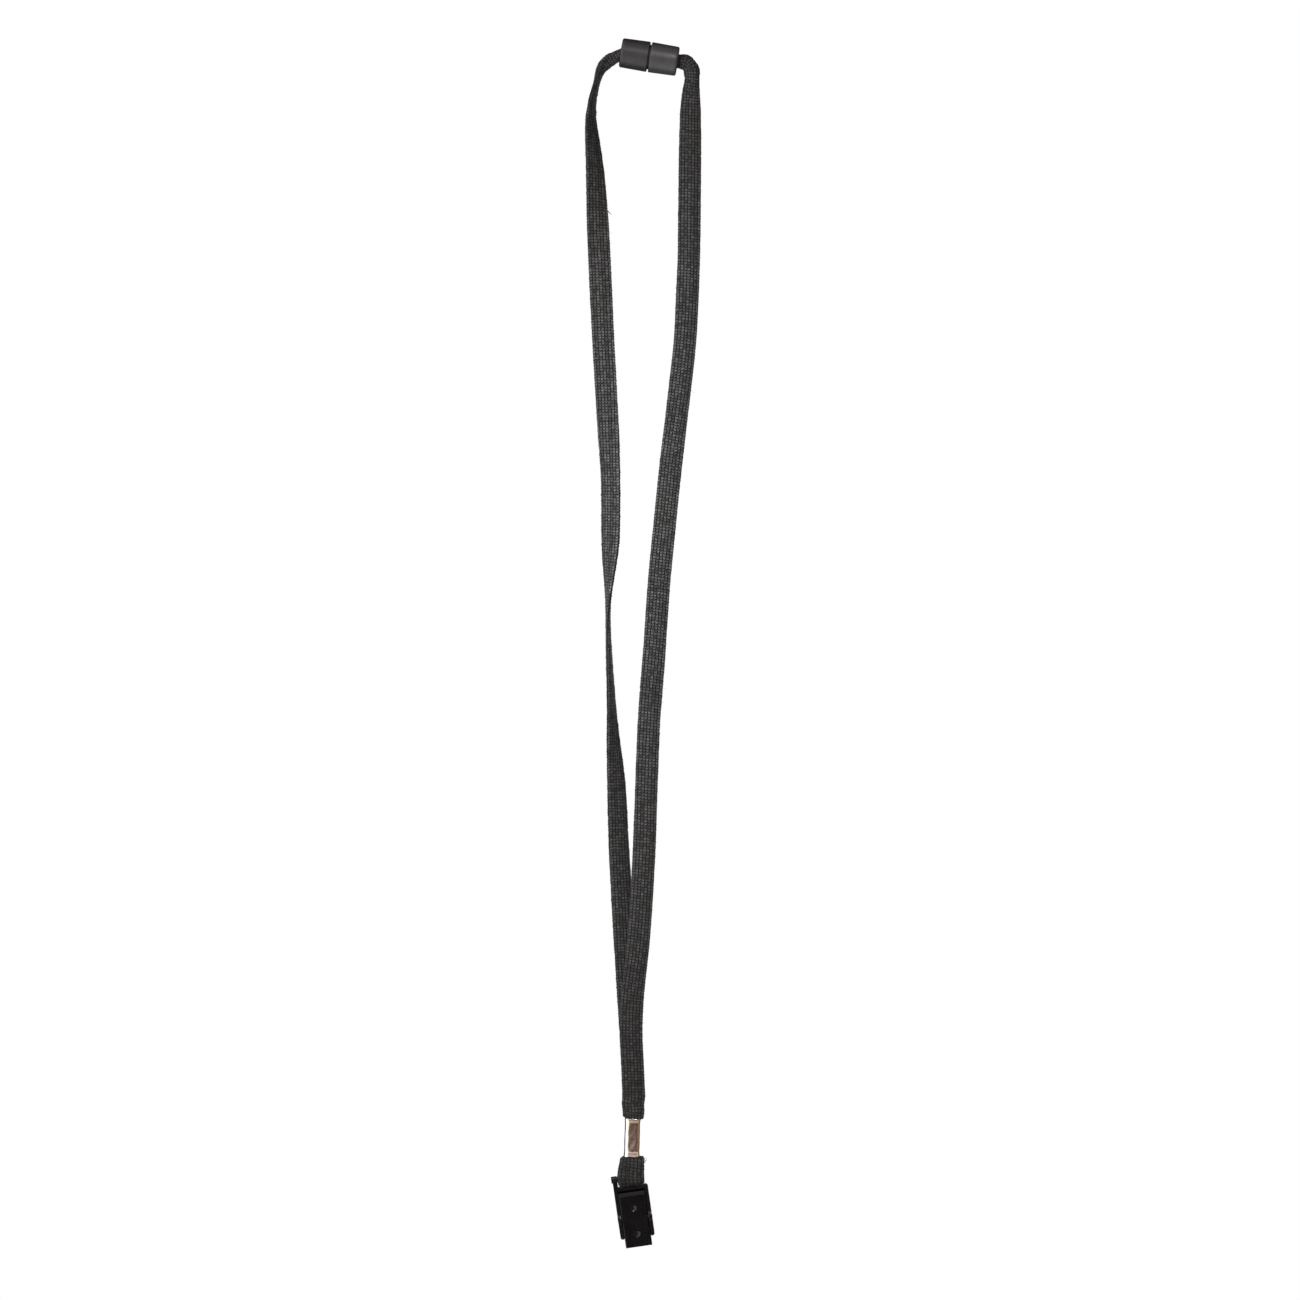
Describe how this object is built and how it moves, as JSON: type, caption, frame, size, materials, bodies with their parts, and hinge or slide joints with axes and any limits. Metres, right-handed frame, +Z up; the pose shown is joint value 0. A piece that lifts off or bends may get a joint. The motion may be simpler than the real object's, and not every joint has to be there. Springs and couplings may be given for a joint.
{
  "type": "lanyard",
  "caption": "Black flat braided neck strap with a barrel breakaway connector, a metal crimp and a spring clip hanging on a short strap loop.",
  "frame": {"origin": "middle of the breakaway connector at the back of the neck, on its axis at the seam", "axes": "+Z up with the lanyard hanging at rest, +X to the wearer's left, +Y towards the wearer"},
  "size_m": [0.0487, 0.0126, 0.5083],
  "materials": {
    "strap_braid": "matte woven polyester",
    "connector_shell": "satin moulded",
    "connector_insert": "moulded",
    "crimp_metal": "bright nickel plate",
    "clip_plastic": "glossy moulded",
    "pin_steel": "drawn wire",
    "spring_steel": "tempered strip"
  },
  "bodies": {
    "root": {"socket_shell": "connector_shell", "socket_insert": "connector_insert", "strap_left_leg": "strap_braid", "strap_clip_loop": "strap_braid", "crimp_ferrule": "crimp_metal"},
    "plug_half": {"plug_shell": "connector_shell", "plug_insert": "connector_insert", "strap_right_leg": "strap_braid"},
    "clip": {"clip_base": "clip_plastic", "hinge_pin": "pin_steel", "jaw_spring": "spring_steel"},
    "lever": {"clip_lever": "clip_plastic"}
  },
  "joints": [
    {"name": "breakaway_release", "type": "slide", "parent": "root", "child": "plug_half", "axis": [0.9877, 0, -0.1564], "range_m": [0, 0.02]},
    {"name": "clip_swing", "type": "hinge", "parent": "root", "child": "clip", "pos_m": [-0.0084, 0, -0.4708], "axis": [0.9898, 0, 0.1426], "range_deg": [-45, 45]},
    {"name": "jaw_pinch", "type": "hinge", "parent": "clip", "child": "lever", "pos_m": [-0.00598, -0.0001, -0.48763], "axis": [-0.9898, 0, -0.1426], "range_deg": [0, 12], "stiffness_Nm_per_rad": 0.08, "springref_deg": -17.19, "deforming": ["jaw_spring"]}
  ]
}
